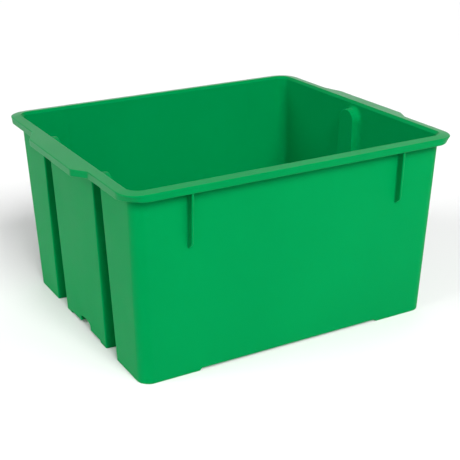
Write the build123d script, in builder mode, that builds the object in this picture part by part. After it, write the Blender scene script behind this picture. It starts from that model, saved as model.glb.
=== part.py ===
"""Stack-and-nest storage bin, 598 x 503 x 308 mm.

The bin is a single open-topped polyolefin moulding with walls 3 mm thick. It is held here as its
moulded regions, each a closed solid that meets its neighbours face to face. Each join lies in a
flat or straight stretch, clear of the ribs, corners and handles.

X runs along the long sides, Y across the bin, and Z up from the undersides of the feet. The end
at -X has two nesting ribs and the end at +X has one. A bin turned the same way nests over the
ribs; a bin turned half round rests on their tops, which its bottom notches fit over.
"""

import os
from math import atan, cos, sin

from build123d import *

os.makedirs("parts", exist_ok=True)

# Body of the bin
HEIGHT = 308.0  # crest of the rim above the feet
BASE_LENGTH = 516.4  # outside of the walls at the feet
BASE_WIDTH = 440.2
TOP_LENGTH = 535.6  # outside of the walls, carried up to the crest's height
TOP_WIDTH = 470.8
WALL = 3.0
CORNER_RADIUS = 20.0  # outside of the upright corners

# Base
FOOT_HEIGHT = 4.5
FOOT_WIDTH = 10.0
FOOT_SKIN = 7.0  # width of the foot round a channel or a notch
SIDE_RECESS = 162.0  # half length of the gap between the feet along a long side
END_RECESS = 62.0  # half width of the gap between the feet along an end
RECESS_SLOPE = 4.0  # run of the sloped end of each gap

# Rim: a crest, a flange that slopes down outwards, and a skirt that hangs from it
CREST_RADIUS = 5.4
FLANGE_REACH = 13.8  # crest to the outside of the skirt
FLANGE_SLOPE = 0.14  # fall over reach
SKIRT_HEIGHT = 10.9
RIM_ROUND = 1.5
LIP_ROUND = 1.0

# Handles: the flange carried further out at the middle of each end
HANDLE_REACH = 28.8
HANDLE_TIP = 88.0  # half width at the outer edge
HANDLE_ROOT = 118.0  # half width where it runs into the flange
HANDLE_ROUND = 8.0

# Nesting ribs: channels pressed into the end walls from outside
CHANNEL_DEPTH = 16.0
CHANNEL_HALF_TOP = 18.0
CHANNEL_HALF_BASE = 24.0
CHANNEL_TOP = 294.0
CHANNEL_TAPER = 3.0  # degrees
PAIR_OFFSET = 105.0  # centre line to the middle of each rib of the pair

# Notches in the bottom edge, above the places where the other bin's ribs stand
NOTCH_HALF = 20.0
NOTCH_TOP = 16.0
NOTCH_DEPTH = 13.0

# Gussets under the rim on the long sides
GUSSET_OFFSET = 182.0
GUSSET_THICKNESS = 4.0
GUSSET_DEPTH = 12.0
GUSSET_FRONT_BOTTOM = 216.0
GUSSET_WALL_BOTTOM = 208.0

# Where one region ends and the next begins
CORNER_X = 235.0
STRIP_HALF = 35.0  # half width of the strip of end wall round a rib or a notch
NOTCH_STRIP_TOP = 45.0
WALL_APRON = 12.0  # floor that stays with a wall, in from its outside at the base
RIB_APRON = 32.0  # floor that stays with a rib or a notch
BEND_RUN = 12.0  # straight rim that stays with a corner, along the long side
HANDLE_REGION = 124.0  # half width of the handle's region of the rim

REACH = 400.0  # longer than any half size of the bin
OVERLAP = 2.0  # by which a cutting solid passes through the face that it opens

FLOOR_X = BASE_LENGTH / 2 - WALL_APRON  # half sizes of the floor's region
FLOOR_Y = BASE_WIDTH / 2 - WALL_APRON
RIB_X = BASE_LENGTH / 2 - RIB_APRON
CORNER_Y = PAIR_OFFSET + STRIP_HALF
RIM_SEAT = HEIGHT - CREST_RADIUS
SKIRT_BOTTOM = HEIGHT - FLANGE_SLOPE * FLANGE_REACH - SKIRT_HEIGHT
END_DRAFT = atan((TOP_LENGTH - BASE_LENGTH) / 2 / HEIGHT)


def half_length(z, inset=0.0):
    """Half length of the bin at height z, to a face set in from the outside."""
    return (BASE_LENGTH + (TOP_LENGTH - BASE_LENGTH) * z / HEIGHT) / 2 - inset


def half_width(z, inset=0.0):
    """Half width of the bin at height z, to a face set in from the outside."""
    return (BASE_WIDTH + (TOP_WIDTH - BASE_WIDTH) * z / HEIGHT) / 2 - inset


CREST_X = half_length(RIM_SEAT, WALL) + CREST_RADIUS
CREST_Y = half_width(RIM_SEAT, WALL) + CREST_RADIUS
CREST_CORNER = CORNER_RADIUS - WALL + CREST_RADIUS
RUN_X = CREST_X - CREST_CORNER  # half length of the crest's straight runs
RUN_Y = CREST_Y - CREST_CORNER
SEAT_OUTSIDE = WALL - CREST_RADIUS  # outside of the wall at the rim, measured out from the crest

ENDS = {"left": -1, "right": 1}
SIDES = {"front": -1, "back": 1}
CORNERS = {
    f"{side}_{end}": (along, across)
    for side, across in SIDES.items()
    for end, along in ENDS.items()
}
RIBS = {
    "left_nesting_rib_front": (-1, -PAIR_OFFSET),
    "left_nesting_rib_back": (-1, PAIR_OFFSET),
    "right_nesting_rib": (1, 0.0),
}
NOTCHES = {
    "left_stacking_notch": (-1, 0.0),
    "right_stacking_notch_front": (1, -PAIR_OFFSET),
    "right_stacking_notch_back": (1, PAIR_OFFSET),
}


def flange_top(reach):
    """Height of the flange's upper face at a distance out from the crest."""
    return HEIGHT - FLANGE_SLOPE * reach


def save(name, part):
    """Label a finished region and write it."""
    part.label = name
    export_step(part, f"parts/{name}.step")


def box_between(low, high, mode):
    """Box from one corner to the opposite one."""
    size = [abs(h - l) for l, h in zip(low, high)]
    middle = tuple((h + l) / 2 for l, h in zip(low, high))
    with Locations(middle):
        Box(*size, mode=mode)


def trapezium(half_size, inset, bottom, top):
    """Corners of a section whose sides follow one pair of walls."""
    low = half_size(bottom, inset)
    high = half_size(top, inset)
    return (-low, bottom), (low, bottom), (high, top), (-high, top)


def drafted_block(inset, bottom, top):
    """Block inside faces set in from the outside of the walls, with round upright corners."""
    with BuildPart() as block:
        with BuildSketch(Plane.XZ):
            with BuildLine():
                Polyline(*trapezium(half_length, inset, bottom, top), close=True)
            make_face()
        extrude(amount=REACH, both=True)
        with BuildSketch(Plane.YZ):
            with BuildLine():
                Polyline(*trapezium(half_width, inset, bottom, top), close=True)
            make_face()
        extrude(amount=REACH, both=True, mode=Mode.INTERSECT)
        upright = block.edges().filter_by(lambda edge: abs(edge.tangent_at(0.5).Z) > 0.9)
        fillet(upright, radius=CORNER_RADIUS - inset)
    return block.part


def end_plane(side):
    """Plane of an end wall's outer face at side -1 or +1, facing into the bin."""
    return Plane(
        origin=(side * half_length(0), 0, 0),
        x_dir=(0, -side, 0),
        z_dir=(-side * cos(END_DRAFT), 0, sin(END_DRAFT)),
    )


def channel(side, y, skin):
    """Space of the channel in an end wall, or with a skin the outside of the rib round it."""
    middle = -side * y
    half_base = CHANNEL_HALF_BASE + skin
    half_top = CHANNEL_HALF_TOP + skin
    shoulder = CHANNEL_TOP - CHANNEL_HALF_TOP
    with BuildPart() as space:
        with BuildSketch(end_plane(side).offset(-OVERLAP)):
            with BuildLine():
                foot = Line((middle - half_base, -OVERLAP), (middle + half_base, -OVERLAP))
                flank = Line(foot @ 1, (middle + half_top, shoulder))
                arch = TangentArc(flank @ 1, (middle - half_top, shoulder), tangent=flank % 1)
                Line(arch @ 1, foot @ 0)
            make_face()
        extrude(amount=CHANNEL_DEPTH + skin + OVERLAP, taper=CHANNEL_TAPER)
    return space.part


def notch(side, y, skin):
    """Space of a notch in the bottom edge, or with a skin the outside of its hood."""
    middle = -side * y
    half = NOTCH_HALF + skin
    with BuildPart() as space:
        with BuildSketch(end_plane(side).offset(-OVERLAP)):
            with BuildLine():
                foot = Line((middle - half, -OVERLAP), (middle + half, -OVERLAP))
                ThreePointArc(foot @ 1, (middle, NOTCH_TOP + skin), foot @ 0)
            make_face()
        extrude(amount=NOTCH_DEPTH + skin + OVERLAP)
    return space.part


def rim_outline(reach, hangs_skirt):
    """Closed section of the rim: distance out from the crest, then height."""
    tip_drop = SKIRT_HEIGHT if hangs_skirt else WALL
    with BuildSketch() as section:
        with BuildLine():
            seat = Line((SEAT_OUTSIDE, RIM_SEAT), (-CREST_RADIUS, RIM_SEAT))
            crest = TangentArc(seat @ 1, (0, HEIGHT), tangent=(0, 1))
            slope = Line(crest @ 1, (reach, flange_top(reach)))
            tip = Line(slope @ 1, (reach, flange_top(reach) - tip_drop))
            if hangs_skirt:
                lip = Line(tip @ 1, (reach - WALL, SKIRT_BOTTOM))
                tip = Line(lip @ 1, (reach - WALL, flange_top(reach - WALL) - WALL))
            under = Line(tip @ 1, (SEAT_OUTSIDE, flange_top(SEAT_OUTSIDE) - WALL))
            Line(under @ 1, seat @ 0)
        make_face()
        if hangs_skirt:
            outer = section.vertices().group_by(Axis.X)[-1]
            fillet(outer.sort_by(Axis.Y)[-1], radius=RIM_ROUND)
            fillet(section.vertices().group_by(Axis.Y)[0], radius=LIP_ROUND)
    return section.sketch


channels = {name: channel(side, y, 0.0) for name, (side, y) in RIBS.items()}
notches = {name: notch(side, y, 0.0) for name, (side, y) in NOTCHES.items()}
hollow = drafted_block(WALL, FOOT_HEIGHT + WALL, RIM_SEAT)

# Walls, floor, ribs and hoods as one sheet up to the rim's seat, from which the regions are cut
with BuildPart() as shell:
    add(drafted_block(0.0, FOOT_HEIGHT, RIM_SEAT))
    add(drafted_block(WALL, FOOT_HEIGHT + WALL, RIM_SEAT + OVERLAP), mode=Mode.SUBTRACT)
    for side, y in RIBS.values():
        add(channel(side, y, WALL) & hollow)
    for side, y in NOTCHES.values():
        add(notch(side, y, WALL) & hollow)
    for space in [*channels.values(), *notches.values()]:
        add(space, mode=Mode.SUBTRACT)

# Blocks that hold the ribs and the notches with their strips of wall and floor
blocks = {
    name: ((side * RIB_X, y - STRIP_HALF, 0), (side * REACH, y + STRIP_HALF, top))
    for group, top in ((RIBS, HEIGHT), (NOTCHES, NOTCH_STRIP_TOP))
    for name, (side, y) in group.items()
}
for name, (low, high) in blocks.items():
    with BuildPart() as strip:
        add(shell.part)
        box_between(low, high, Mode.INTERSECT)
    save(name, strip.part)

# Floor, without the stretches that stay with the walls, ribs and notches
with BuildPart() as floor_panel:
    add(shell.part)
    box_between((-FLOOR_X, -FLOOR_Y, 0), (FLOOR_X, FLOOR_Y, HEIGHT), Mode.INTERSECT)
    for low, high in blocks.values():
        box_between(low, high, Mode.SUBTRACT)
save("floor_panel", floor_panel.part)

# Walls: name, then two opposite corners in plan of the region
PANELS = {
    "front_wall": ((-CORNER_X, -REACH), (CORNER_X, -FLOOR_Y)),
    "back_wall": ((-CORNER_X, FLOOR_Y), (CORNER_X, REACH)),
    "left_end_panel": ((-REACH, STRIP_HALF - PAIR_OFFSET), (-FLOOR_X, PAIR_OFFSET - STRIP_HALF)),
    "right_end_panel_front": ((FLOOR_X, -CORNER_Y), (REACH, -STRIP_HALF)),
    "right_end_panel_back": ((FLOOR_X, STRIP_HALF), (REACH, CORNER_Y)),
}
for name, (along, across) in CORNERS.items():
    PANELS[f"corner_{name}"] = (
        (along * CORNER_X, across * CORNER_Y),
        (along * REACH, across * REACH),
    )
for name, (low, high) in PANELS.items():
    with BuildPart() as panel:
        add(shell.part)
        box_between((*low, 0), (*high, HEIGHT), Mode.INTERSECT)
        box_between((-FLOOR_X, -FLOOR_Y, 0), (FLOOR_X, FLOOR_Y, HEIGHT), Mode.SUBTRACT)
        for block_low, block_high in blocks.values():
            box_between(block_low, block_high, Mode.SUBTRACT)
    save(name, panel.part)

# Feet: a ring under the walls that goes round the channels and notches, open between the corners
with BuildPart() as base_ring:
    add(drafted_block(0.0, 0.0, FOOT_HEIGHT))
    add(drafted_block(FOOT_WIDTH, -OVERLAP, FOOT_HEIGHT + OVERLAP), mode=Mode.SUBTRACT)
    for side, y in RIBS.values():
        add(channel(side, y, FOOT_SKIN))
    for side, y in NOTCHES.values():
        add(notch(side, y, FOOT_SKIN))
    add(drafted_block(0.0, 0.0, FOOT_HEIGHT), mode=Mode.INTERSECT)
    for space in [*channels.values(), *notches.values()]:
        add(space, mode=Mode.SUBTRACT)
    for half, plane in ((SIDE_RECESS, Plane.XZ), (END_RECESS, Plane.YZ)):
        with BuildSketch(plane):
            with BuildLine():
                Polyline(
                    (-half - RECESS_SLOPE / 2, 0),
                    (half + RECESS_SLOPE / 2, 0),
                    (half - RECESS_SLOPE / 2, FOOT_HEIGHT),
                    (RECESS_SLOPE / 2 - half, FOOT_HEIGHT),
                    close=True,
                )
            make_face()
        extrude(amount=REACH, both=True, mode=Mode.SUBTRACT)

for name, (along, across) in CORNERS.items():
    with BuildPart() as foot:
        add(base_ring.part)
        box_between((0, 0, 0), (along * REACH, across * REACH, HEIGHT), Mode.INTERSECT)
    save(f"foot_{name}", foot.part)

# Gussets under the rim on the long sides
for name, (along, across) in CORNERS.items():
    skirt_inside = CREST_Y + FLANGE_REACH - WALL
    with BuildPart() as gusset:
        with BuildSketch(Plane.YZ.offset(along * GUSSET_OFFSET)):
            with BuildLine():
                Polyline(
                    (across * half_width(GUSSET_WALL_BOTTOM), GUSSET_WALL_BOTTOM),
                    (
                        across * (half_width(GUSSET_FRONT_BOTTOM) + GUSSET_DEPTH),
                        GUSSET_FRONT_BOTTOM,
                    ),
                    (across * skirt_inside, SKIRT_BOTTOM),
                    (across * skirt_inside, flange_top(FLANGE_REACH - WALL) - WALL),
                    (across * half_width(RIM_SEAT), flange_top(SEAT_OUTSIDE) - WALL),
                    (across * half_width(RIM_SEAT), RIM_SEAT),
                    close=True,
                )
            make_face()
        extrude(amount=GUSSET_THICKNESS / 2, both=True)
    save(f"gusset_{name}", gusset.part)

rim_section = rim_outline(FLANGE_REACH, hangs_skirt=True)

# Lengths of rim along the long sides
SIDE_RUN = RUN_X - BEND_RUN
for side_name, across in SIDES.items():
    far_end = Plane(
        origin=(across * SIDE_RUN, across * CREST_Y, 0), x_dir=(0, across, 0), z_dir=(across, 0, 0)
    )
    with BuildPart() as rim:
        with BuildSketch(far_end):
            add(rim_section)
        extrude(amount=-2 * SIDE_RUN)
    save(f"rim_{side_name}", rim.part)

# Corners of the rim, each with a short run along the long side and the length up to a handle
for name, (along, across) in CORNERS.items():
    long_side = Plane(
        origin=(along * RUN_X, across * CREST_Y, 0), x_dir=(0, across, 0), z_dir=(across, 0, 0)
    )
    end_side = Plane(
        origin=(along * CREST_X, across * RUN_Y, 0), x_dir=(along, 0, 0), z_dir=(0, -along, 0)
    )
    with BuildPart() as rim_corner:
        with BuildSketch(long_side):
            add(rim_section)
        extrude(amount=-along * across * BEND_RUN)
        with BuildSketch(end_side):
            add(rim_section)
        extrude(amount=along * across * (RUN_Y - HANDLE_REGION))
        with BuildSketch(end_side):
            add(rim_section)
        upright = Axis((along * RUN_X, across * RUN_Y, 0), (0, 0, along * across))
        revolve(axis=upright, revolution_arc=90)
    save(f"rim_corner_{name}", rim_corner.part)

# Handles: the flange's section carried out to the handle's edge, with the skirt round it
handle_section = rim_outline(HANDLE_REACH, hangs_skirt=False)
SKIRT_BLOCK = (RIM_SEAT - 2 * SKIRT_HEIGHT, 3 * SKIRT_HEIGHT)  # bottom and height, before trimming
for end_name, side in ENDS.items():
    inner_x = side * (CREST_X - 2 * CREST_RADIUS)
    flange_x = side * (CREST_X + FLANGE_REACH)
    tip_x = side * (CREST_X + HANDLE_REACH)
    with BuildSketch() as plan:
        with BuildLine():
            Polyline(
                (inner_x, -RUN_Y),
                (flange_x, -RUN_Y),
                (flange_x, -HANDLE_ROOT),
                (tip_x, -HANDLE_TIP),
                (tip_x, HANDLE_TIP),
                (flange_x, HANDLE_ROOT),
                (flange_x, RUN_Y),
                (inner_x, RUN_Y),
                close=True,
            )
        make_face()
        bends = plan.vertices().filter_by(lambda bend: abs(bend.Y) < HANDLE_REGION)
        fillet(bends, radius=HANDLE_ROUND)
    with BuildSketch() as skirt_plan:
        add(plan.sketch)
        offset(amount=-WALL, mode=Mode.SUBTRACT)
    bottom, depth = SKIRT_BLOCK
    with BuildPart() as skirt:
        with BuildSketch(Plane.XY.offset(bottom)):
            add(skirt_plan.sketch)
        extrude(amount=depth)
        for drop, keep in ((0.0, Keep.BOTTOM), (SKIRT_HEIGHT, Keep.TOP)):
            slope = Plane(
                origin=(side * CREST_X, 0, HEIGHT - drop), z_dir=(side * FLANGE_SLOPE, 0, 1)
            )
            split(bisect_by=slope, keep=keep)
        near = side * (CREST_X + FLANGE_REACH / 2)
        box_between(
            (near, -HANDLE_REGION, 0), (side * REACH, HANDLE_REGION, HEIGHT), Mode.INTERSECT
        )
    across_end = Plane(
        origin=(side * CREST_X, side * HANDLE_REGION, 0), x_dir=(side, 0, 0), z_dir=(0, -side, 0)
    )
    with BuildPart() as handle:
        with BuildSketch(across_end):
            add(handle_section)
        extrude(amount=2 * HANDLE_REGION)
        with BuildSketch(Plane.XY.offset(bottom)):
            add(plan.sketch)
        extrude(amount=depth, mode=Mode.INTERSECT)
        add(skirt.part)
    save(f"{end_name}_handle", handle.part)
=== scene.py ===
"""Looks of the stack-and-nest storage bin.

Every region of the moulding is a closed mesh. Floor, walls, ribs and hoods are sheets with an inner
and an outer face; rim, handles, feet and gussets are swept through loops. Lengths are in metres.
"""

from math import atan, atan2, cos, pi, radians, sin, tan

import bmesh
import bpy
import numpy as np
from mathutils import Matrix, Vector


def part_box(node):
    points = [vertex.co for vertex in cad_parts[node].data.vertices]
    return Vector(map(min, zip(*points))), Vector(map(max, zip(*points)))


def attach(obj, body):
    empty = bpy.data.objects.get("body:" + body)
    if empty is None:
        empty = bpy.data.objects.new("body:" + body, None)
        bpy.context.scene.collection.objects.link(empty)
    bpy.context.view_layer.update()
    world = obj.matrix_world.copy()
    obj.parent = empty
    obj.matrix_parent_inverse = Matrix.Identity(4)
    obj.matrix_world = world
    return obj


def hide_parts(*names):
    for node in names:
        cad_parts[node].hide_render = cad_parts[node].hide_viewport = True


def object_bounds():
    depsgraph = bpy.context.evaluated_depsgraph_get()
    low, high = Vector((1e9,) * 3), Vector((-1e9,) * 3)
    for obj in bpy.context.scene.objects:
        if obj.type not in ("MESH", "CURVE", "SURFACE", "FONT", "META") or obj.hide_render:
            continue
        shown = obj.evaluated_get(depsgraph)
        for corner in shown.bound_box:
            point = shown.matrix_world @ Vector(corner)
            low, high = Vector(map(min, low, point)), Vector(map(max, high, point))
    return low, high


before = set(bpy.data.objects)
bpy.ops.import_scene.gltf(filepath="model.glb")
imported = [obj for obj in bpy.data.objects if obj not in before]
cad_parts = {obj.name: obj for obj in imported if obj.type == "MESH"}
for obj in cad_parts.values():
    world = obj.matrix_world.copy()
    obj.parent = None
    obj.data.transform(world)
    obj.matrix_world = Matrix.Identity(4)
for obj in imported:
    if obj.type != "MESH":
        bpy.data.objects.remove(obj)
CAD_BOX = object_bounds()
SLOT = "moulded_green_plastic"
MM = 0.001


# ---------------------------------------------------------------- sizes taken from the frame

def line_through(low, high):
    """Straight line through two (height, half size) pairs, as a function of height."""
    slope = (high[1] - low[1]) / (high[0] - low[0])
    return lambda z: low[1] + slope * (z - low[0])


foot_low, foot_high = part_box("foot_front_left")
corner_low, corner_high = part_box("corner_front_left")
floor_low, floor_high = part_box("floor_panel")
rim_low, rim_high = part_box("rim_front")
handle_low, handle_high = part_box("left_handle")
rib_low, rib_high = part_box("left_nesting_rib_front")
_, notch_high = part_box("left_stacking_notch")
gusset_low, gusset_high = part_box("gusset_front_left")

HEIGHT = CAD_BOX[1].z
UNDERSIDE, FLOOR_TOP = floor_low.z, floor_high.z
WALL = FLOOR_TOP - UNDERSIDE
SEAT = corner_high.z  # where the rim stands on the walls
half_length = line_through((foot_high.z, -foot_low.x), (SEAT, -corner_low.x))
half_width = line_through((foot_high.z, -foot_low.y), (SEAT, -corner_low.y))

FLOOR_X, FLOOR_Y = floor_high.x, floor_high.y
CORNER_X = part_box("front_wall")[1].x  # seam of a corner on the long wall
CORNER_Y = -corner_high.y  # and its seam on the end wall
STRIP_HALF = (rib_high.y - rib_low.y) / 2  # of the strip of wall round a rib or a notch
PAIR_OFFSET = -(rib_high.y + rib_low.y) / 2  # of a pair of ribs or notches, from the middle
RIB_X = -rib_high.x  # where the strips' floor ends
NOTCH_STRIP_TOP = notch_high.z
CREST_RADIUS = HEIGHT - SEAT
FLANGE_REACH = -rim_low.y - half_width(SEAT) + WALL - CREST_RADIUS
HANDLE_REACH = -handle_low.x - half_length(SEAT) + WALL - CREST_RADIUS
HANDLE_REGION = handle_high.y
RIM_SEAM = rim_high.x
SKIRT_BOTTOM = rim_low.z
CREST_X = half_length(SEAT) - WALL + CREST_RADIUS
CREST_Y = half_width(SEAT) - WALL + CREST_RADIUS

# ---------------------------------------------------------------- the moulding's finer shape

CORNER_RADIUS = 20 * MM
COVE = 3 * MM
FLANGE_SLOPE = 0.14  # how far the rim's top falls for each unit outwards
CREST_LEAN = radians(42)  # flare inside the crest, from upright
CREST_BLEND = 2 * MM
CREST_EDGE = 1.1 * MM
RIM_ROUND = 1.3 * MM
LIP_ROUND = 1.2 * MM
UNDER_ROUND = 1.5 * MM
HANDLE_TIP = 88 * MM  # the handle has its full width up to here from the middle
HANDLE_ROOT = 118 * MM  # and is down to the rim's width here
HANDLE_BEND = 3 * MM  # half length of the bends at both
CORNER_SWELL = 2 * MM  # the rim's corners reach out further than a round bend
CORNER_TUCK = 4 * MM
CORNER_LIFT = 1 * MM

CHANNEL_DEPTH = 16 * MM
CHANNEL_HALF_BASE = 24 * MM
CHANNEL_HALF_TOP = 18 * MM
CHANNEL_SHOULDER = 276 * MM
CHANNEL_TAPER = radians(3)
LEFT_RIB_EXTRA = 1.8 * MM  # how much further in the ribs of the left end reach
FLANK_EXTRA = 3.2 * MM  # how much thicker the flanks of a rib are than its other walls
MOUTH_ROUND = 2.5 * MM
DEEP_ROUND = 2 * MM
RIB_FOOT_ROUND = 5.5 * MM
RIB_EDGE_ROUND = 1.5 * MM

NOTCH_HALF = 20 * MM
NOTCH_DEPTH = 13 * MM
NOTCH_TOP = 16 * MM
NOTCH_SHOULDER = FLOOR_TOP + COVE + 0.5 * MM
NOTCH_MOUTH_ROUND = 2 * MM
HOOD_EDGE_ROUND = 4 * MM

FOOT_WIDTH = 10 * MM
FOOT_SKIN = 7 * MM
FOOT_ROUND = 1.2 * MM
SIDE_RECESS = 162 * MM
END_RECESS = 62 * MM
RECESS_SLOPE = 4 * MM

GUSSET_OFFSET = -(gusset_low.x + gusset_high.x) / 2
GUSSET_HALF = (gusset_high.x - gusset_low.x) / 2
SINK_DEPTH = 0.3 * MM
SINK_WIDTH = 3.5 * MM
SINK_FADE = 30 * MM  # climb over which a sink mark fades in

SIDE_STATIONS, END_STATIONS = 41, 13  # along a long wall or rim, and along an end panel
FLOOR_GRID = (33, 25)

OUTSIDE, INSIDE = 0.0, WALL  # how far a face is set in from the outside of the walls


# ---------------------------------------------------------------- meshes

SAME_POINT = 1e7  # points that agree when rounded at this many to the metre are one vertex
SHARP_EDGE = radians(40)


class Mesh:
    """Faces gathered from grids and strips; points that coincide become one vertex."""

    def __init__(self):
        self.points, self.faces, self.index = [], [], {}

    def vertex(self, point):
        """Number of the vertex at a point, made when there is none."""
        key = tuple(round(float(c) * SAME_POINT) for c in point)
        if key not in self.index:
            self.index[key] = len(self.points)
            self.points.append(tuple(float(c) for c in point))
        return self.index[key]

    def face(self, *points):
        """Add a face through the points, unless too few of them differ."""
        corners = []
        for point in points:
            number = self.vertex(point)
            if number not in corners:
                corners.append(number)
        if len(corners) > 2:
            self.faces.append(corners)

    def grid(self, points, keep=None, wrap=False):
        """Quads over a grid of points; wrap joins its last column to its first."""
        rows, columns = points.shape[:2]
        for i in range(rows - 1):
            for j in range(columns if wrap else columns - 1):
                if keep is None or keep[i][j]:
                    k = (j + 1) % columns
                    self.face(points[i, j], points[i + 1, j], points[i + 1, k], points[i, k])

    def build(self, name):
        """Turn the faces into an object with outward normals and flat faces kept flat."""
        data = bpy.data.meshes.new(name)
        data.from_pydata(self.points, [], self.faces)
        data.validate()
        piece = bpy.data.objects.new(name, data)
        bpy.context.scene.collection.objects.link(piece)
        face_outwards(data)
        for polygon in data.polygons:
            polygon.use_smooth = True
        data.set_sharp_from_angle(angle=SHARP_EDGE)
        weighted = piece.modifiers.new("flat faces stay flat", "WEIGHTED_NORMAL")
        weighted.keep_sharp = True
        return piece


def face_outwards(data):
    """Make the faces of a closed mesh face outwards."""
    work = bmesh.new()
    work.from_mesh(data)
    bmesh.ops.recalc_face_normals(work, faces=work.faces)
    work.to_mesh(data)
    work.free()


def sheet(name, inner, outer, keep=None, middle_welded=False):
    """Closed sheet between two grids of points, with a strip along each edge of its kept cells.

    middle_welded leaves out the strip of the last column, where two halves of the grid meet.
    """
    rows, columns = inner.shape[0] - 1, inner.shape[1] - 1
    if keep is None:
        keep = np.ones((rows, columns), bool)
    mesh = Mesh()
    mesh.grid(inner, keep)
    mesh.grid(outer, keep)

    def kept(i, j):
        """Whether no strip is needed towards this cell."""
        if middle_welded and j == columns:
            return True
        return 0 <= i < rows and 0 <= j < columns and keep[i][j]

    for i in range(rows):
        for j in range(columns):
            if not keep[i][j]:
                continue
            corners = ((i, j), (i, j + 1), (i + 1, j + 1), (i + 1, j))
            beside = ((i - 1, j), (i, j + 1), (i + 1, j), (i, j - 1))
            for side, neighbour in enumerate(beside):
                if not kept(*neighbour):
                    a, b = corners[side], corners[(side + 1) % 4]
                    mesh.face(inner[a], inner[b], outer[b], outer[a])
    return mesh.build(name)


def tube(name, loops):
    """Closed piece through loops of points, with a face over each end."""
    mesh = Mesh()
    mesh.grid(np.array(loops), wrap=True)
    mesh.face(*loops[0])
    mesh.face(*loops[-1])
    return mesh.build(name)


def spread(low, high, count):
    """Evenly spaced values from low to high, without the last."""
    return list(np.linspace(low, high, count, endpoint=False))


def distinct(values):
    """Values in order, with those that are the same to a tenth of a micrometre taken once."""
    return sorted({round(value, 7) for value in values})


# ---------------------------------------------------------------- stations along the walls
# A station is a place on the walls' plan. Its place(z, inset) gives x, y and the inward normal;
# its edge is where the floor that stays with it ends, and its foot is the foot's inner edge.

class Station:
    def __init__(self, place, edge, foot):
        self.place, self.edge, self.foot = place, edge, foot


def sink(x, z):
    """Depth of the sink mark on the inside of a long wall, opposite a gusset."""
    across = (abs(x) - GUSSET_OFFSET) / SINK_WIDTH
    up = min(max((z - gusset_low.z) / SINK_FADE, 0), 1)
    return SINK_DEPTH * np.exp(-across * across) * up


def long_run(side, along):
    """Station on a long wall at side -1 or +1; along is x, or a function that gives it at z."""
    at = along if callable(along) else lambda z: along

    def place(z, inset):
        x = at(z)
        y = half_width(z) - inset
        if inset == INSIDE:
            y += sink(x, z)
        return x, side * y, 0, -side

    def foot(z):
        return at(z), side * (half_width(0) - FOOT_WIDTH)

    return Station(place, (at(FLOOR_TOP), side * FLOOR_Y), foot)


def end_run(side, along):
    """Station on an end wall at side -1 or +1; along is y, or a function that gives it at z."""
    at = along if callable(along) else lambda z: along

    def place(z, inset):
        return side * (half_length(z) - inset), at(z), -side, 0

    def foot(z):
        return side * (half_length(0) - FOOT_WIDTH), at(z)

    return Station(place, (side * FLOOR_X, at(FLOOR_TOP)), foot)


def corner_stations(along, across):
    """Stations round a corner, from the long wall to the end wall."""
    stations = []

    def centre(z):
        return half_length(z) - CORNER_RADIUS, half_width(z) - CORNER_RADIUS

    def on_long_wall(share):
        def place(z, inset):
            x = CORNER_X + (centre(z)[0] - CORNER_X) * share
            return along * x, across * (half_width(z) - inset), 0, -across
        return place

    def on_end_wall(share):
        def place(z, inset):
            y = CORNER_Y + (centre(z)[1] - CORNER_Y) * (1 - share)
            return along * (half_length(z) - inset), across * y, -along, 0
        return place

    def on_bend(turn):
        def place(z, inset):
            x, y = centre(z)
            out_x, out_y = sin(turn), cos(turn)
            x += (CORNER_RADIUS - inset) * out_x
            y += (CORNER_RADIUS - inset) * out_y
            return along * x, across * y, -along * out_x, -across * out_y
        return place

    foot_x = half_length(0) - FOOT_WIDTH
    foot_y = half_width(0) - FOOT_WIDTH
    bend_x, bend_y = centre(0)
    side_leg, bend, end_leg = 3, 12, 8  # steps on the long wall, round the bend and on the end wall
    for i in range(side_leg):
        x = CORNER_X + (bend_x - CORNER_X) * i / side_leg
        stations.append((on_long_wall(i / side_leg), (x, FLOOR_Y), (x, foot_y)))
    for i in range(bend + 1):
        share = i / bend
        out_x, out_y = sin(share * pi / 2), cos(share * pi / 2)
        if share < 0.5:
            edge = (bend_x + (FLOOR_X - bend_x) * share * 2, FLOOR_Y)
        else:
            edge = (FLOOR_X, FLOOR_Y + (bend_y - FLOOR_Y) * (share * 2 - 1))
        inner = CORNER_RADIUS - FOOT_WIDTH
        foot = (bend_x + inner * out_x, bend_y + inner * out_y)
        stations.append((on_bend(share * pi / 2), edge, foot))
    for i in range(1, end_leg + 1):
        y = bend_y + (CORNER_Y - bend_y) * i / end_leg
        stations.append((on_end_wall(i / end_leg), (FLOOR_X, y), (foot_x, y)))
    return [
        Station(
            place, (along * edge_x, across * edge_y),
            lambda z, x=along * inner_x, y=across * inner_y: (x, y),
        )
        for place, (edge_x, edge_y), (inner_x, inner_y) in stations
    ]


# ---------------------------------------------------------------- rows up a wall

FLOOR_ROWS = 4
COVE_ROWS = 6
NOTCH_ROWS = 4  # up to the top of the notches' strips
WALL_ROWS = 21  # above it


def floor_level(row, inset):
    """Height of a row of the floor or the cove, and how far in from the wall's foot it stands."""
    kind, value = row
    turn = value if kind == "cove" else 0.0
    inside = inset == INSIDE
    level = FLOOR_TOP if inside else UNDERSIDE
    away = COVE * (1 - sin(turn)) if inside else 0.0
    return level + COVE * (1 - cos(turn)), away


def wall_point(station, row, inset):
    """Point of a sheet at a station and a row.

    A row is ("floor", share of the way from the floor's edge), ("cove", turn) or ("wall", height).
    """
    kind, value = row
    if kind == "wall":
        x, y, _, _ = station.place(value, inset)
        return x, y, value
    z, away = floor_level(row, inset)
    x, y, normal_x, normal_y = station.place(z, inset)
    x += normal_x * away
    y += normal_y * away
    if kind == "floor":
        x = station.edge[0] + (x - station.edge[0]) * value
        y = station.edge[1] + (y - station.edge[1]) * value
    return x, y, z


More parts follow.
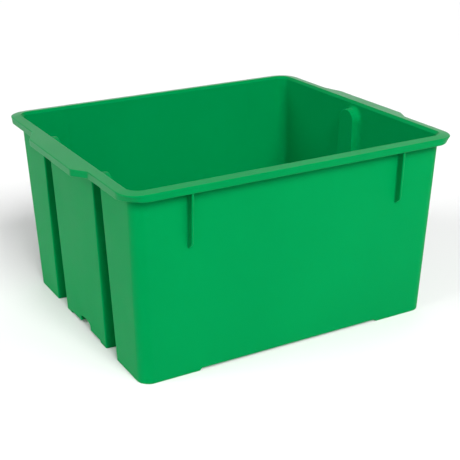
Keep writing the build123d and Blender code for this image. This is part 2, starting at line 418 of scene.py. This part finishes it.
def wall_rows(heights):
    """Rows over the floor's edge, up the cove and up the wall at the heights."""
    rows = [("floor", share) for share in spread(0, 1, FLOOR_ROWS)]
    rows += [("cove", turn) for turn in np.linspace(0, pi / 2, COVE_ROWS + 1)]
    rows += [("wall", z) for z in heights]
    return rows


def wall_heights(top):
    """Heights from above the cove to the top, one of them at the top of the notches' strips."""
    low = list(np.linspace(FLOOR_TOP + COVE, NOTCH_STRIP_TOP, NOTCH_ROWS + 1)[1:])
    return low + list(np.linspace(NOTCH_STRIP_TOP, top, WALL_ROWS + 1)[1:])


def grids(stations, rows):
    """Inner and outer points of a sheet at all its stations and rows."""
    inner = np.array([[wall_point(s, r, INSIDE) for r in rows] for s in stations])
    outer = np.array([[wall_point(s, r, OUTSIDE) for r in rows] for s in stations])
    return inner, outer


# ---------------------------------------------------------------- ribs and hoods pressed into the ends
# Columns run from the edge of the strip to the middle of a pressing: over the strip, round the
# mouth, along the flank, round the deep bend and over the deep face.

STRIP_COLUMNS = 4
BEND_COLUMNS = 8
FLANK_COLUMNS = 2
FACE_COLUMNS = 5
FLANK_START = STRIP_COLUMNS + BEND_COLUMNS
DEEP_START = FLANK_START + FLANK_COLUMNS
CORNER_COLUMN = DEEP_START + BEND_COLUMNS // 2  # stands on the corner of the strip's floor
ARCH_ROWS = (4, 8)  # in half an arch, before and after the corner of the strip
TINY = 1e-9  # keeps a division away from zero


class Pressing:
    """A channel or a notch pressed into an end wall, with its strip of wall and floor round it.

    half(z) is half the width of its mouth, shoulder the height where its arch springs, rise the
    height of that arch, top the height where its strip ends, and extra how much thicker its
    flanks are than the wall. rounds are those of the mouth, the deep bend, the rib's foot and
    the rib's edge. A point's out is its distance from the middle and its into that from the wall's outside.
    """

    def __init__(self, side, middle, half, depth, shoulder, rise, taper, rounds, top, extra=0.0):
        self.side, self.middle, self.half, self.depth = side, middle, half, depth
        self.shoulder, self.rise, self.taper, self.top = shoulder, rise, taper, top
        self.mouth_round, self.deep_round, self.foot_round, self.edge_round = rounds
        self.extra = extra
        self._sections = {inset: self.section(inset) for inset in (OUTSIDE, INSIDE)}

    def narrowed(self, size, inset):
        """A half size of the mouth, less what the thicker flanks take from it outside."""
        return size - self.extra if inset == OUTSIDE else size

    def columns_of(self, inset):
        """Columns of the inner or the outer face."""
        return self._sections[inset][0]

    def foot_point(self, hand, column):
        """Place under a column, as a function of height: the foot's outer point and inner edge."""
        kind = self.columns_of(OUTSIDE)[column]
        half = self.narrowed(self.half(0), OUTSIDE) + FOOT_SKIN
        into = self.depth + FOOT_SKIN
        if kind[0] == "strip":
            edge = (STRIP_HALF + (half - STRIP_HALF) * kind[1], FOOT_WIDTH)
        elif column < FLANK_START:
            edge = (half, FOOT_WIDTH)
        elif kind[0] == "face":
            edge = (half * (1 - kind[1]), into)
        elif column < DEEP_START:
            edge = (half, kind[2])
        else:
            edge = (half, into)

        def place(z):
            x, y, _ = self.flank_point(hand, column, z, OUTSIDE)
            inner = (self.side * (half_length(0) - edge[1]), self.middle + hand * edge[0])
            return (x, y), inner
        return place

    def section(self, inset):
        """Columns of a face, how deep its flat bottom lies and where that ends beside the mouth.

        A column is ("strip", share), ("bend", out from the mouth, into, normal) or ("face", share).
        """
        if inset == OUTSIDE:
            mouth, deep = self.mouth_round, self.deep_round
        else:
            mouth, deep = self.foot_round, self.edge_round
        lean = tan(self.taper)
        bottom = self.depth + inset
        turns = np.linspace(0, pi / 2, BEND_COLUMNS)

        def bend(out, into, normal_out, normal_in):
            return "bend", out - lean * (into - inset), into, normal_out, normal_in

        columns = [("strip", share) for share in spread(0, 1, STRIP_COLUMNS)]
        for turn in turns:
            out = inset + mouth * (1 - sin(turn))
            into = inset + mouth * (1 - cos(turn))
            columns.append(bend(out, into, sin(turn), cos(turn)))
        for into in np.linspace(inset + mouth, bottom - deep, FLANK_COLUMNS + 2)[1:-1]:
            columns.append(bend(inset, into, 1.0, 0.0))
        for turn in turns:
            out = inset - deep * (1 - cos(turn))
            into = bottom - deep * (1 - sin(turn))
            columns.append(bend(out, into, cos(turn), sin(turn)))
        columns += [("face", share) for share in np.linspace(0, 1, FACE_COLUMNS + 1)[1:]]
        return columns, bottom, inset - deep - lean * (bottom - inset)

    def flank_point(self, hand, column, z, inset, away=0.0):
        """Point of one half, hand -1 or +1, at height z; away moves it along its normal."""
        columns, bottom, face_edge = self._sections[inset]
        kind = columns[column]
        half = self.narrowed(self.half(z), inset)
        if kind[0] == "strip":
            strip_end = half + columns[STRIP_COLUMNS][1]
            out = STRIP_HALF + (strip_end - STRIP_HALF) * kind[1]
            into, normal_out, normal_in = inset, 0.0, 1.0
        elif kind[0] == "bend":
            out, into = half + kind[1], kind[2]
            normal_out, normal_in = kind[3], kind[4]
        else:
            out = (half + face_edge) * (1 - kind[1])
            into, normal_out, normal_in = bottom, 0.0, 1.0
        out += normal_out * away
        into += normal_in * away
        return self.side * (half_length(z) - into), self.middle + hand * out, z

    def arch_point(self, turn, column, inset):
        """Point on the arch; turn goes from 0 at one shoulder to pi at the other."""
        columns, bottom, face_edge = self._sections[inset]
        kind = columns[column]
        wide = self.narrowed(self.half(self.shoulder), inset)
        tall = self.narrowed(self.rise, inset)
        direction = np.array([cos(turn), sin(turn)])
        on_arch = np.array([wide * direction[0], tall * direction[1]])
        normal = np.array([direction[0] / wide, direction[1] / tall])
        normal /= np.linalg.norm(normal)
        if kind[0] == "strip":
            reach = min(
                STRIP_HALF / max(abs(direction[0]), TINY),
                (self.top - self.shoulder) / max(direction[1], TINY),
            )
            strip_end = on_arch + normal * columns[STRIP_COLUMNS][1]
            place = direction * reach * (1 - kind[1]) + strip_end * kind[1]
            into = inset
        elif kind[0] == "bend":
            place = on_arch + normal * kind[1]
            into = kind[2]
        else:
            place = (on_arch + normal * face_edge) * (1 - kind[1])
            into = bottom
        z = self.shoulder + place[1]
        return self.side * (half_length(z) - into), self.middle + place[0], z

    def floor_edge(self, column):
        """Where the floor that stays with a column ends, as its out and into."""
        near = half_length(FLOOR_TOP) - FLOOR_X
        far = half_length(FLOOR_TOP) - RIB_X
        if column <= CORNER_COLUMN:
            return STRIP_HALF, near + (far - near) * column / CORNER_COLUMN
        last = len(self.columns_of(INSIDE)) - 1
        return STRIP_HALF * (last - column) / (last - CORNER_COLUMN), far

    def row_point(self, hand, column, row, inset):
        """Point of one half at a row, as wall_point reads it."""
        kind, value = row
        if kind == "wall":
            return self.flank_point(hand, column, value, inset)
        z, away = floor_level(row, inset)
        point = self.flank_point(hand, column, z, inset, away)
        if kind == "cove":
            return point
        out, into = self.floor_edge(column)
        edge = (self.side * (half_length(FLOOR_TOP) - into), self.middle + hand * out, z)
        return tuple(e + (p - e) * value for e, p in zip(edge, point))

    def face(self, heights, inset):
        """Points of one face: up one half, over the arch and down the other half."""
        columns = range(len(self.columns_of(inset)))
        corner_turn = atan2(self.top - self.shoulder, STRIP_HALF)
        climb = spread(0, corner_turn, ARCH_ROWS[0])[1:] + spread(corner_turn, pi / 2, ARCH_ROWS[1])
        turns = climb + [pi / 2] + [pi - turn for turn in climb[::-1]]

        def half(hand):
            return [
                [self.row_point(hand, column, row, inset) for column in columns]
                for row in wall_rows(heights)
            ]

        arch = [[self.arch_point(turn, column, inset) for column in columns] for turn in turns]
        return np.array(half(1) + arch + half(-1)[::-1])

    def build(self, name, heights):
        """Closed sheet of the pressing and its strip, with rows up its flanks at the heights."""
        inner, outer = self.face(heights, INSIDE), self.face(heights, OUTSIDE)
        return sheet(name, inner, outer, middle_welded=True)


def channel_half(z):
    """Half width of a channel's mouth at height z."""
    return CHANNEL_HALF_BASE + (CHANNEL_HALF_TOP - CHANNEL_HALF_BASE) * z / CHANNEL_SHOULDER


def rib(side, middle):
    """Nesting rib: a tall channel outside, which stands as a rib inside."""
    return Pressing(
        side, middle, channel_half,
        depth=CHANNEL_DEPTH if side > 0 else CHANNEL_DEPTH + LEFT_RIB_EXTRA,
        shoulder=CHANNEL_SHOULDER,
        rise=CHANNEL_HALF_TOP,
        taper=CHANNEL_TAPER,
        rounds=(MOUTH_ROUND, DEEP_ROUND, RIB_FOOT_ROUND, RIB_EDGE_ROUND),
        top=SEAT,
        extra=FLANK_EXTRA,
    )


def hood(side, middle):
    """Stacking notch: a low arch outside, which stands as a hood over the floor inside."""
    return Pressing(
        side, middle, lambda z: NOTCH_HALF,
        depth=NOTCH_DEPTH,
        shoulder=NOTCH_SHOULDER,
        rise=NOTCH_TOP - NOTCH_SHOULDER,
        taper=0.0,
        rounds=(NOTCH_MOUTH_ROUND, DEEP_ROUND, RIB_FOOT_ROUND, HOOD_EDGE_ROUND),
        top=NOTCH_STRIP_TOP,
    )


# ---------------------------------------------------------------- rim and handles

def handle_reach(y):
    """How far the rim reaches out from the crest at y along an end."""
    slope = (HANDLE_REACH - FLANGE_REACH) / (HANDLE_ROOT - HANDLE_TIP)

    def ramp(t):
        """Zero up to one bend before t = 0, a straight climb from one after it, a parabola between."""
        if t <= -HANDLE_BEND:
            return 0.0
        if t >= HANDLE_BEND:
            return t
        return (t + HANDLE_BEND) ** 2 / (4 * HANDLE_BEND)

    past = abs(y)
    return HANDLE_REACH - slope * (ramp(past - HANDLE_TIP) - ramp(past - HANDLE_ROOT))


def arc(centre, radius, first, last, count):
    """Points on an arc between two angles from the outward direction."""
    return [
        (centre[0] + radius * cos(turn), centre[1] + radius * sin(turn))
        for turn in np.linspace(first, last, count)
    ]


def rim_section(reach, skirt_wall=WALL, tuck=0.0, lift=0.0):
    """Closed section of the rim, as distances out from the crest and heights.

    reach is where its outer edge stands; tuck and lift bring the skirt's lip in and up.
    """
    fall = atan(FLANGE_SLOPE)
    upright = pi / 2 - fall  # direction square to the flange
    section = arc((CREST_BLEND - CREST_RADIUS, SEAT), CREST_BLEND, pi, pi - CREST_LEAN, count=5)
    edge_z = HEIGHT - CREST_EDGE
    climb = edge_z + CREST_EDGE * sin(CREST_LEAN) - section[-1][1]
    edge_out = section[-1][0] + climb * tan(CREST_LEAN) + CREST_EDGE * cos(CREST_LEAN)
    section += arc((edge_out, edge_z), CREST_EDGE, pi - CREST_LEAN, upright, count=8)
    start_out, start_z = section[-1]

    def top(out):
        return start_z - FLANGE_SLOPE * (out - start_out)

    last = reach - RIM_ROUND * tan(upright / 2) * cos(fall)
    section += [(out, top(out)) for out in np.linspace(start_out, last, 7)[1:-1]]
    centre = (reach - RIM_ROUND, top(last) - RIM_ROUND * cos(fall))
    section += arc(centre, RIM_ROUND, upright, 0, count=7)
    outer, inner = reach - tuck, reach - tuck - skirt_wall
    lip_z = SKIRT_BOTTOM + FLANGE_SLOPE * (FLANGE_REACH - reach) + lift + LIP_ROUND
    section += arc((outer - LIP_ROUND, lip_z), LIP_ROUND, 0, -pi / 2, count=5)
    section += arc((inner + LIP_ROUND, lip_z), LIP_ROUND, -pi / 2, -pi, count=5)
    under = reach - skirt_wall - UNDER_ROUND
    under_z = top(reach - skirt_wall) - WALL - UNDER_ROUND
    section += arc((under, under_z), UNDER_ROUND, 0, upright, count=4)
    wall_out = WALL - CREST_RADIUS
    section += [(out, top(out) - WALL) for out in np.linspace(under, wall_out, 3)[1:]]
    section.append((wall_out, SEAT))
    return section


def rim_piece(name, stations):
    """Rim swept through stations, each its crest point, its outward direction and its section."""
    return tube(name, [
        [(x + out_x * out, y + out_y * out, z) for out, z in section]
        for (x, y), (out_x, out_y), section in stations
    ])


def side_rim(side):
    """Stations of the rim along a long side."""
    section = rim_section(FLANGE_REACH)
    xs = np.linspace(-RIM_SEAM, RIM_SEAM, SIDE_STATIONS)
    return [((x, side * CREST_Y), (0, side), section) for x in xs]


def corner_rim(along, across):
    """Stations of the rim round a corner, from the long side to the handle."""
    section = rim_section(FLANGE_REACH)
    radius = CORNER_RADIUS - WALL + CREST_RADIUS
    run_x, run_y = CREST_X - radius, CREST_Y - radius
    side_leg, bend, end_leg = 3, 24, 8  # steps on the long side, round the bend and on the end
    stations = []
    for x in spread(RIM_SEAM, run_x, side_leg):
        stations.append(((along * x, across * CREST_Y), (0, across), section))
    for turn in np.linspace(0, pi / 2, bend + 1):
        out = (along * sin(turn), across * cos(turn))
        crest = (along * (run_x + radius * sin(turn)), across * (run_y + radius * cos(turn)))
        swell = sin(2 * turn) ** 2
        reach = FLANGE_REACH + CORNER_SWELL * swell
        bent = rim_section(reach, tuck=CORNER_TUCK * swell, lift=CORNER_LIFT * swell)
        stations.append((crest, out, bent))
    for y in np.linspace(run_y, HANDLE_REGION, end_leg + 1)[1:]:
        stations.append(((along * CREST_X, across * y), (along, 0), section))
    return stations


def handle_rim(side):
    """Stations of a handle, closer together round its bends."""
    near = 4 * MM
    step = 0.5 * MM
    tips = list(np.linspace(HANDLE_TIP - near, HANDLE_TIP + near, 7))
    roots = list(np.linspace(HANDLE_ROOT - near, HANDLE_ROOT + near, 7))
    half = spread(0, tips[0], 8) + tips + spread(tips[-1], roots[0], 5)[1:] + roots + [HANDLE_REGION]
    stations = []
    for y in distinct([*half, *(-y for y in half)]):
        slant = (handle_reach(y + step) - handle_reach(y - step)) / (2 * step)
        skirt_wall = WALL * (1 + slant * slant) ** 0.5
        section = rim_section(handle_reach(y), skirt_wall)
        stations.append(((side * CREST_X, y), (side, 0), section))
    return stations


# ---------------------------------------------------------------- feet and gussets

def foot_piece(name, along, across, pressing):
    """Foot under a corner, from the gap in the long side round to the gap in the end."""

    def gap_end(gap):
        """Sloping end of a gap, as a function of height."""
        return lambda z: gap + RECESS_SLOPE * (0.5 - z / UNDERSIDE)

    places = []
    start = gap_end(SIDE_RECESS)
    for share in spread(0, 1, 8):
        def at(z, share=share):
            return along * (start(z) + (CORNER_X - start(z)) * share)
        places.append(station_point(long_run(across, at)))
    places += [station_point(station) for station in corner_stations(along, across)]
    count = len(pressing.columns_of(OUTSIDE))
    hand = 1 if across > 0 else -1
    for way, order in ((hand, range(1, count)), (-hand, range(count - 2, -1, -1))):
        places += [pressing.foot_point(way, column) for column in order]
    inner_y = PAIR_OFFSET - STRIP_HALF
    finish = gap_end(END_RECESS)
    for share in (0.5, 1.0):
        def at(z, share=share):
            return across * (inner_y + (finish(z) - inner_y) * share)
        places.append(station_point(end_run(along, at)))
    loops = []
    for place in places:
        loop = []
        for inner, away, z in foot_section():
            (x, y), (edge_x, edge_y) = place(z)
            length = ((edge_x - x) ** 2 + (edge_y - y) ** 2) ** 0.5
            share = (length - away if inner else away) / length
            loop.append((x + (edge_x - x) * share, y + (edge_y - y) * share, z))
        loops.append(loop)
    return tube(name, loops)


def station_point(station):
    """Place under a station, as a function of height: the foot's outer point and inner edge."""
    def place(z):
        x, y, _, _ = station.place(z, OUTSIDE)
        return (x, y), station.foot(z)
    return place


def foot_section():
    """Closed section of a foot: whether measured from the inner edge, distance from it, height."""
    turns = np.linspace(0, pi / 2, 4)
    outer = [(False, FOOT_ROUND * (1 - cos(t)), FOOT_ROUND * (1 - sin(t))) for t in turns]
    inner = [(True, FOOT_ROUND * (1 - cos(t)), FOOT_ROUND * (1 - sin(t))) for t in turns[::-1]]
    return [(False, 0.0, UNDERSIDE), *outer, *inner, (True, 0.0, UNDERSIDE)]


def gusset_piece(name, along, across):
    """Upright gusset: a tapering fin from the long wall out to the inside of the skirt."""
    root_flare = 1.6 * MM
    front_round = 1.2 * MM
    embed = 0.6 * MM  # how far its root goes into the wall
    toe = 9 * MM  # height of its rounded lower end
    toe_reach = 12 * MM
    toe_curve = 0.75  # power by which the toe comes out of the wall
    thinning = 0.2  # share of its thickness that it loses from the rim down to the toe
    low, top = gusset_low.z, HEIGHT - FLANGE_SLOPE * FLANGE_REACH - WALL
    toe_top = low + toe
    outer_low = half_width(toe_top) + toe_reach
    outer_top = CREST_Y + FLANGE_REACH - WALL
    toe_heights = [low + rise * MM for rise in (0, 1.5, 3.5, 6)]
    loops = []
    for z in [*toe_heights, *np.linspace(toe_top, top, 16)]:
        wall = half_width(z)
        share = (z - toe_top) / (top - toe_top)
        if z < toe_top:
            reach = toe_reach * ((z - low) / toe) ** toe_curve
        else:
            reach = outer_low + (outer_top - outer_low) * share - wall
        half = GUSSET_HALF * (1 - thinning * (1 - max(share, 0)))
        flare, tip = min(root_flare, reach / 2), min(front_round, reach / 2)
        side = [(-embed, half + root_flare)]
        for turn in np.linspace(0, pi / 2, 4):
            side.append((flare * (1 - cos(turn)), half + flare * (1 - sin(turn))))
        for turn in np.linspace(0, pi / 2, 5):
            side.append((reach - tip * (1 - sin(turn)), half - tip * (1 - cos(turn))))
        loop = side + [(out, -wide) for out, wide in side[::-1]]
        loops.append([(along * GUSSET_OFFSET + wide, across * (wall + out), z) for out, wide in loop])
    return tube(name, loops)


# ---------------------------------------------------------------- every region of the moulding

def panel(name, stations, gap=None):
    """Wall region through its stations; gap leaves out a notch's strip between two places."""
    rows = wall_rows(wall_heights(SEAT))
    inner, outer = grids(stations, rows)
    keep = np.ones((len(stations) - 1, len(rows) - 1), bool)
    if gap:
        strip_top = rows.index(("wall", NOTCH_STRIP_TOP))
        middles = (inner[:-1, -1, 1] + inner[1:, -1, 1]) / 2
        keep[(middles > gap[0]) & (middles < gap[1]), :strip_top] = False
    return sheet(name, inner, outer, keep)


def floor(name):
    """Flat floor, cut square round the strips of the ribs and notches."""
    centres = (-PAIR_OFFSET, 0, PAIR_OFFSET)
    cuts = [centre + hand * STRIP_HALF for centre in centres for hand in (-1, 1)]
    xs = sorted({*np.linspace(-FLOOR_X, FLOOR_X, FLOOR_GRID[0]), -RIB_X, RIB_X})
    ys = distinct([*np.linspace(-FLOOR_Y, FLOOR_Y, FLOOR_GRID[1]), *cuts])
    inner = np.array([[(x, y, FLOOR_TOP) for y in ys] for x in xs])
    outer = np.array([[(x, y, UNDERSIDE) for y in ys] for x in xs])
    keep = np.ones((len(xs) - 1, len(ys) - 1), bool)
    for i in range(len(xs) - 1):
        for j in range(len(ys) - 1):
            x, y = (xs[i] + xs[i + 1]) / 2, (ys[j] + ys[j + 1]) / 2
            in_strip = any(abs(y - centre) < STRIP_HALF for centre in centres)
            keep[i][j] = not (abs(x) > RIB_X and in_strip)
    return sheet(name, inner, outer, keep)


def long_wall(name, side):
    """Long wall, with stations closer together across its two sink marks."""
    xs = list(np.linspace(-CORNER_X, CORNER_X, SIDE_STATIONS))
    for mark in (-GUSSET_OFFSET, GUSSET_OFFSET):
        for step in (0, 1.5, 3, 4.5, 6, 8):
            xs += [mark - step * MM, mark + step * MM]
    return panel(name, [long_run(side, x) for x in distinct(xs)])


def end_panel(name, side, low, high, notch_middle):
    """End wall between two places along it, cut round the strip of a notch."""
    gap = (notch_middle - STRIP_HALF, notch_middle + STRIP_HALF)
    ys = [y for y in gap if low <= round(y, 7) <= high]
    ys = distinct([*np.linspace(low, high, END_STATIONS), *ys])
    return panel(name, [end_run(side, y) for y in ys], gap)


ENDS = {"left": -1, "right": 1}
SIDES = {"front": -1, "back": 1}
RIBS = {
    "left_nesting_rib_front": rib(-1, -PAIR_OFFSET),
    "left_nesting_rib_back": rib(-1, PAIR_OFFSET),
    "right_nesting_rib": rib(1, 0.0),
}
NOTCHES = {
    "left_stacking_notch": hood(-1, 0.0),
    "right_stacking_notch_front": hood(1, -PAIR_OFFSET),
    "right_stacking_notch_back": hood(1, PAIR_OFFSET),
}
PRESSINGS = {**RIBS, **NOTCHES}


def moulding():
    """Every region, by the name of the CAD node that it stands for."""
    made = {}

    def add(make, node, *shape):
        made[node] = make(f"{node}_moulding", *shape)

    add(floor, "floor_panel")
    for node, pressing in PRESSINGS.items():
        heights = wall_heights(CHANNEL_SHOULDER) if node in RIBS else [NOTCH_SHOULDER]
        add(pressing.build, node, heights)
    inner_y = PAIR_OFFSET - STRIP_HALF
    add(end_panel, "left_end_panel", -1, -inner_y, inner_y, 0.0)
    for side, across in SIDES.items():
        add(long_wall, f"{side}_wall", across)
        add(rim_piece, f"rim_{side}", side_rim(across))
        low, high = sorted((across * STRIP_HALF, across * CORNER_Y))
        add(end_panel, f"right_end_panel_{side}", 1, low, high, across * PAIR_OFFSET)
        for end, along in ENDS.items():
            beside = f"left_nesting_rib_{side}" if along < 0 else f"right_stacking_notch_{side}"
            add(panel, f"corner_{side}_{end}", corner_stations(along, across))
            add(foot_piece, f"foot_{side}_{end}", along, across, PRESSINGS[beside])
            add(gusset_piece, f"gusset_{side}_{end}", along, across)
            add(rim_piece, f"rim_corner_{side}_{end}", corner_rim(along, across))
    for end, along in ENDS.items():
        add(rim_piece, f"{end}_handle", handle_rim(along))
    return made


# ---------------------------------------------------------------- the plastic

DARK_GREEN = (0.0, 0.205, 0.052)
LIGHT_GREEN = (0.0, 0.223, 0.0565)
GLANCE_COLOUR = (0.0, 1.0, 0.35, 1)  # of the gloss where it is seen square on
NOISE_LOW, NOISE_HIGH = 0.3, 0.7  # noise mostly stays between these
ROUGHNESS_SWING = 0.04


def plastic(name, roughness, gloss, shade=1.0):
    """Satin bright green polyolefin: faint flow mottling, fine moulded grain and broad waviness.

    gloss is the strength of its reflections, and shade multiplies its colours; below 1 it paints shade into
    the colour.
    """
    material = bpy.data.materials.new(name)
    material.use_nodes = True
    nodes, links = material.node_tree.nodes, material.node_tree.links
    shader = nodes["Principled BSDF"]
    shader.inputs["Specular IOR Level"].default_value = gloss
    shader.inputs["Specular Tint"].default_value = GLANCE_COLOUR
    shader.inputs["Subsurface Weight"].default_value = 0.35
    shader.inputs["Subsurface Radius"].default_value = (0.2, 1.0, 0.5)
    shader.inputs["Subsurface Scale"].default_value = 4 * MM
    place = nodes.new("ShaderNodeTexCoord").outputs["Object"]

    def noise(scale, detail, stretch=(1, 1, 1)):
        """Noise over the bin, with so many features to the metre."""
        mapping = nodes.new("ShaderNodeMapping")
        mapping.inputs["Scale"].default_value = stretch
        links.new(place, mapping.inputs["Vector"])
        texture = nodes.new("ShaderNodeTexNoise")
        texture.inputs["Scale"].default_value = scale
        texture.inputs["Detail"].default_value = detail
        links.new(mapping.outputs["Vector"], texture.inputs["Vector"])
        return texture.outputs["Fac"]

    def mottle(source):
        """Colour between the two greens."""
        node = nodes.new("ShaderNodeValToRGB")
        ends = ((NOISE_LOW, DARK_GREEN), (NOISE_HIGH, LIGHT_GREEN))
        for element, (position, colour) in zip(node.color_ramp.elements, ends):
            element.position = position
            element.color = (*(shade * channel for channel in colour), 1)
        links.new(source, node.inputs["Fac"])
        return node.outputs["Color"]

    def uneven(source):
        """Roughness a little above and below its mean."""
        node = nodes.new("ShaderNodeMapRange")
        node.inputs["From Min"].default_value = NOISE_LOW
        node.inputs["From Max"].default_value = NOISE_HIGH
        node.inputs["To Min"].default_value = roughness - ROUGHNESS_SWING
        node.inputs["To Max"].default_value = roughness + ROUGHNESS_SWING
        links.new(source, node.inputs["Value"])
        return node.outputs["Result"]

    def relief(source, strength, distance, under=None):
        """Bumps from a height, over the bumps under them."""
        node = nodes.new("ShaderNodeBump")
        node.inputs["Strength"].default_value = strength
        node.inputs["Distance"].default_value = distance
        links.new(source, node.inputs["Height"])
        if under is not None:
            links.new(under, node.inputs["Normal"])
        return node.outputs["Normal"]

    waves = relief(noise(11.0, 1.0), 0.25, 1.2 * MM)
    grain = relief(noise(1400.0, 2.0), 0.12, 0.08 * MM, waves)
    links.new(mottle(noise(4.0, 4.0, (1, 1, 0.6))), shader.inputs["Base Color"])
    links.new(uneven(noise(9.0, 5.0)), shader.inputs["Roughness"])
    links.new(grain, shader.inputs["Normal"])
    return material


wall_plastic = plastic(SLOT, roughness=0.43, gloss=0.035)
# Rim, handles and gussets get a glossier copy whose colours are at 0.92: that darkening is painted shade on
# the same green plastic as the walls.
glossier_painted_darker_plastic = plastic(f"{SLOT}_rim", roughness=0.32, gloss=0.1, shade=0.92)
for node, piece in moulding().items():
    smooth = node.startswith(("rim", "gusset")) or node.endswith("handle")
    piece.data.materials.append(glossier_painted_darker_plastic if smooth else wall_plastic)
    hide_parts(node)
    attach(piece, "root")


# ---------------------------------------------------------------- the camera, floor and light

def towards(azimuth, elevation):
    """Direction by its angles in degrees: azimuth 0 is in front and 90 at the two-rib end."""
    a, e = radians(azimuth), radians(elevation)
    return Vector((-sin(a) * cos(e), -cos(a) * cos(e), sin(e)))


def look_from(azimuth, elevation, roll, distance, target, lens):
    """Camera at a distance from the target, rolled by an angle about its line of sight."""
    a, r = radians(azimuth), radians(roll)
    back = towards(azimuth, elevation)
    level = Vector((cos(a), -sin(a), 0))
    upright = back.cross(level)
    right = level * cos(r) + upright * sin(r)
    up = upright * cos(r) - level * sin(r)
    data = bpy.data.cameras.new("camera")
    data.lens = lens
    data.sensor_width = 36
    data.clip_start = 0.05
    camera = bpy.data.objects.new("camera", data)
    turn = Matrix((right, up, back)).transposed().to_4x4()
    camera.matrix_world = Matrix.Translation(Vector(target) + back * distance) @ turn
    bpy.context.scene.collection.objects.link(camera)
    bpy.context.scene.camera = camera


look_from(
    azimuth=29.0742,
    elevation=21.6661,
    roll=-0.5895,
    distance=5.8398 * HEIGHT,
    target=(0.1076 * HEIGHT, 0.119 * HEIGHT, 0.3248 * HEIGHT),
    lens=80.16,
)


def lamp_at(name, kind, azimuth, elevation, distance, power):
    """Lamp in a direction from the bin, turned to it; returns its data."""
    data = bpy.data.lights.new(name, kind)
    data.energy = power
    lamp = bpy.data.objects.new(name, data)
    back = towards(azimuth, elevation)
    turn = back.to_track_quat("Z", "Y").to_matrix().to_4x4()
    lamp.matrix_world = Matrix.Translation(back * distance) @ turn
    lamp.visible_camera = False
    bpy.context.scene.collection.objects.link(lamp)
    return data


def far_light(name, azimuth, elevation, strength, spread_angle):
    """Distant light as wide as a softbox, which keeps the floor even."""
    lamp_at(name, "SUN", azimuth, elevation, 3.0, strength).angle = radians(spread_angle)


def near_light(name, azimuth, elevation, distance, size, power):
    """Softbox near the bin, whose light falls off across the walls."""
    lamp_at(name, "AREA", azimuth, elevation, distance, power).size = size


def pale_floor():
    """Matt floor that reaches far behind the bin."""
    half = 40.0
    corners = [(-half, -half, 0), (half, -half, 0), (half, half, 0), (-half, half, 0)]
    mesh = bpy.data.meshes.new("studio_floor")
    mesh.from_pydata(corners, [], [(0, 1, 2, 3)])
    ground = bpy.data.objects.new("studio_floor", mesh)
    bpy.context.scene.collection.objects.link(ground)
    paper = bpy.data.materials.new("pale_floor")
    paper.use_nodes = True
    shader = paper.node_tree.nodes["Principled BSDF"]
    shader.inputs["Base Color"].default_value = (0.8, 0.8, 0.8, 1)
    shader.inputs["Roughness"].default_value = 0.9
    ground.data.materials.append(paper)


def white_sky():
    """Dim, even white light from all round."""
    world = bpy.data.worlds.new("studio")
    world.use_nodes = True
    background = world.node_tree.nodes["Background"]
    background.inputs["Color"].default_value = (1, 1, 1, 1)
    background.inputs["Strength"].default_value = 0.27
    bpy.context.scene.world = world


pale_floor()
white_sky()
far_light("key", azimuth=3, elevation=39, strength=3.2, spread_angle=24)
far_light("fill", azimuth=98, elevation=28, strength=2.05, spread_angle=40)
far_light("backdrop", azimuth=212, elevation=20, strength=0.6, spread_angle=60)
near_light("key_side", azimuth=-8, elevation=40, distance=1.4, size=0.7, power=5.6)
bpy.context.scene.view_settings.view_transform = "Standard"
